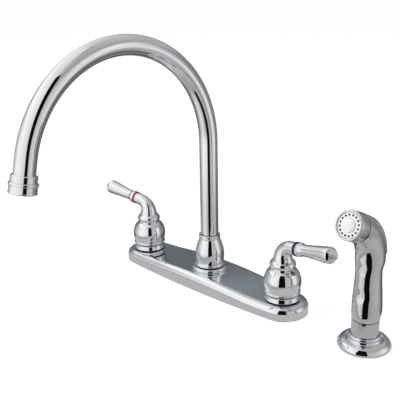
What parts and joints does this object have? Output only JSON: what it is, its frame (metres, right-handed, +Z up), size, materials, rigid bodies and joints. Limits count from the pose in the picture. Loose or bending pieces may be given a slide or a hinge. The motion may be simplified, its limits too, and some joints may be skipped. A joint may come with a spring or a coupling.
{
  "type": "two handle kitchen faucet",
  "caption": "Gooseneck kitchen faucet with a lever handle each side, a long deck plate and a side spray in its holder.",
  "frame": {"origin": "on the sink deck, in the middle of the deck plate's underside and on the spout's swivel axis", "axes": "+X to the user's right along the deck plate (cold side), -Y towards the user (the way the spout points), +Z up"},
  "size_m": [0.394, 0.2615, 0.3265],
  "materials": {
    "plate_chrome": "polished",
    "handle_chrome": "polished",
    "spout_chrome": "polished",
    "spray_chrome": "polished",
    "trim_chrome": "polished",
    "raw_brass": "machined",
    "screw_brass": "machined",
    "plated_steel": "zinc plated",
    "cartridge_plastic": "moulded",
    "nut_plastic": "moulded",
    "ceramic": "lapped ceramic",
    "seal_rubber": "moulded",
    "hot_red": "moulded",
    "cold_blue": "moulded",
    "spray_face_plastic": "moulded",
    "button_plastic": "moulded",
    "strainer_plastic": "moulded"
  },
  "bodies": {
    "faucet_base": {"deck_plate": "plate_chrome", "deck_gasket": "seal_rubber", "hot_valve_body": "raw_brass", "hot_crossover_tube": "raw_brass", "hot_cartridge": "cartridge_plastic", "hot_fixed_disc": "ceramic", "hot_bonnet_nut": "raw_brass", "hot_base_ring": "trim_chrome", "cold_valve_body": "raw_brass", "cold_crossover_tube": "raw_brass", "cold_cartridge": "cartridge_plastic", "cold_fixed_disc": "ceramic", "cold_bonnet_nut": "raw_brass", "cold_base_ring": "trim_chrome", "shank_washers": "plated_steel", "shank_locknuts": "raw_brass", "spout_post": "raw_brass", "spray_outlet": "raw_brass", "spout_base_ring": "trim_chrome", "spout_nut": "spout_chrome", "spout_thrust_washer": "strainer_plastic", "spray_holder": "trim_chrome", "holder_washer": "seal_rubber", "holder_locknut": "nut_plastic"},
    "spout": {"spout_spigot": "raw_brass", "spout_o_rings": "seal_rubber", "spout_tube": "spout_chrome", "spout_end_collar": "spout_chrome", "aerator_housing": "spout_chrome", "aerator_strainer": "strainer_plastic"},
    "hot_lever": {"hot_moving_disc": "ceramic", "hot_stem": "raw_brass", "hot_handle": "handle_chrome", "hot_set_screw": "screw_brass", "hot_index_ring": "hot_red", "hot_lever_grip": "handle_chrome"},
    "cold_lever": {"cold_moving_disc": "ceramic", "cold_stem": "raw_brass", "cold_handle": "handle_chrome", "cold_set_screw": "screw_brass", "cold_index_ring": "cold_blue", "cold_lever_grip": "handle_chrome"},
    "spray": {"spray_collar": "spray_chrome", "spray_hose_inlet": "raw_brass", "spray_body": "spray_chrome", "spray_head_ring": "spray_chrome", "spray_head_seal": "seal_rubber", "spray_face": "spray_face_plastic", "spray_button": "button_plastic", "spray_trigger_pin": "plated_steel"},
    "spray_trigger": {"spray_trigger": "spray_chrome"},
    "spray_plunger": {"spray_plunger": "plated_steel"},
    "diverter": {"diverter": "strainer_plastic"}
  },
  "joints": [
    {"name": "spout_swivel", "type": "hinge", "parent": "faucet_base", "child": "spout", "pos_m": [0, 0, 0.0355], "axis": [0, 0, 1], "continuous": true},
    {"name": "hot_lever_turn", "type": "hinge", "parent": "faucet_base", "child": "hot_lever", "pos_m": [-0.1016, 0, 0.045], "axis": [0, 0, 1], "range_deg": [0, 90]},
    {"name": "cold_lever_turn", "type": "hinge", "parent": "faucet_base", "child": "cold_lever", "pos_m": [0.1016, 0, 0.045], "axis": [0, 0, -1], "range_deg": [0, 90]},
    {"name": "spray_lift", "type": "slide", "parent": "faucet_base", "child": "spray", "axis": [0, 0, 1], "range_m": [0, 0.06]},
    {"name": "spray_trigger_press", "type": "hinge", "parent": "spray", "child": "spray_trigger", "pos_m": [0.20035, -0.01543, 0.12431], "axis": [-0.9997, 0.0227, 0], "range_deg": [0, 2.6], "stiffness_Nm_per_rad": 3, "springref_deg": -2.86},
    {"name": "spray_plunger_push", "type": "slide", "parent": "spray", "child": "spray_plunger", "axis": [-0.0227, -0.9997, 0], "range_m": [0, 0.0015]},
    {"name": "diverter_rise", "type": "slide", "parent": "faucet_base", "child": "diverter", "axis": [0, 0, 1], "range_m": [0, 0.003]}
  ],
  "couplings": [
    {"joint": "spray_plunger_push", "follows": "spray_trigger_press", "m_per_rad": 0.0308}
  ]
}
